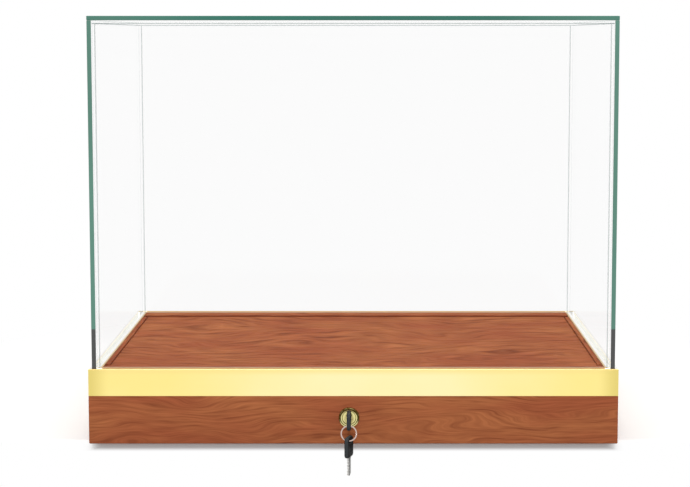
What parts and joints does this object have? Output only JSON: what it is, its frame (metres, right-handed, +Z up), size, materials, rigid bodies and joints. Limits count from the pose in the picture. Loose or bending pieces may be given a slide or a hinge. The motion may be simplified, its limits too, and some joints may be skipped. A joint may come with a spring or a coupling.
{
  "type": "countertop display case",
  "caption": "Countertop display case: a lift-off glass hood in a metal frame over a wooden base with a raised deck, held by a front cam lock with its key.",
  "frame": {"origin": "centre of the flat underside of the base", "axes": "+X to the right seen from the front, +Y towards the back, +Z up; the lock is on the -Y side"},
  "size_m": [0.61, 0.437, 0.5231],
  "materials": {
    "cherry_board": "satin cherry-grain laminate",
    "cherry_deck": "satin cherry-grain laminate",
    "plywood": "bare sanded plywood",
    "gold_aluminium": "satin gold anodised",
    "clear_glass": "clear float glass with polished green edges",
    "clear_bead": "clear bonding bead",
    "seal_rubber": "pale translucent silicone",
    "brass": "polished",
    "steel": "zinc plated",
    "nickel": "nickel plated",
    "black_plastic": "moulded, semi-gloss"
  },
  "bodies": {
    "base": {"front_board": "cherry_board", "right_board": "cherry_board", "back_board": "cherry_board", "left_board": "cherry_board", "front_rail": "cherry_deck", "right_rail": "cherry_deck", "back_rail": "cherry_deck", "left_rail": "cherry_deck", "deck_panel": "cherry_deck", "deck_bearers": "plywood", "corner_blocks": "plywood", "bottom_panel": "plywood", "bottom_screws": "steel", "lock_housing": "brass", "lock_nut": "brass"},
    "hood": {"frame_front": "gold_aluminium", "frame_right": "gold_aluminium", "frame_back": "gold_aluminium", "frame_left": "gold_aluminium", "corner_keys": "steel", "glazing_seal": "seal_rubber", "glass_front": "clear_glass", "glass_right": "clear_glass", "glass_back": "clear_glass", "glass_left": "clear_glass", "glass_top": "clear_glass", "corner_beads": "clear_bead", "top_beads": "clear_bead", "lock_strike": "steel", "strike_screws": "steel"},
    "lock": {"lock_plug": "brass", "lock_cam": "steel", "cam_screw": "steel"},
    "key": {"key_blade": "nickel", "key_bow": "black_plastic"},
    "ring": {"split_ring": "nickel"},
    "spare_key": {"spare_blade": "nickel", "spare_bow": "black_plastic"}
  },
  "joints": [
    {"name": "hood_lift", "type": "slide", "parent": "base", "child": "hood", "axis": [0, 0, 1], "range_m": [0, 0.15]},
    {"name": "lock_turn", "type": "hinge", "parent": "base", "child": "lock", "pos_m": [-0.005, -0.203, 0.0309], "axis": [0, 1, 0], "range_deg": [0, 90]},
    {"name": "key_withdraw", "type": "slide", "parent": "lock", "child": "key", "axis": [0, -1, 0], "range_m": [0, 0.024]},
    {"name": "ring_hang", "type": "hinge", "parent": "key", "child": "ring", "pos_m": [-0.005, -0.22415, 0.0227], "axis": [0, 1, 0], "range_deg": [-90, 0]},
    {"name": "spare_swing", "type": "hinge", "parent": "ring", "child": "spare_key", "pos_m": [-0.005, -0.22415, 0.0087], "axis": [1, 0, 0], "range_deg": [-90, 12]}
  ],
  "couplings": [
    {"joint": "ring_hang", "follows": "lock_turn", "ratio": -1}
  ]
}
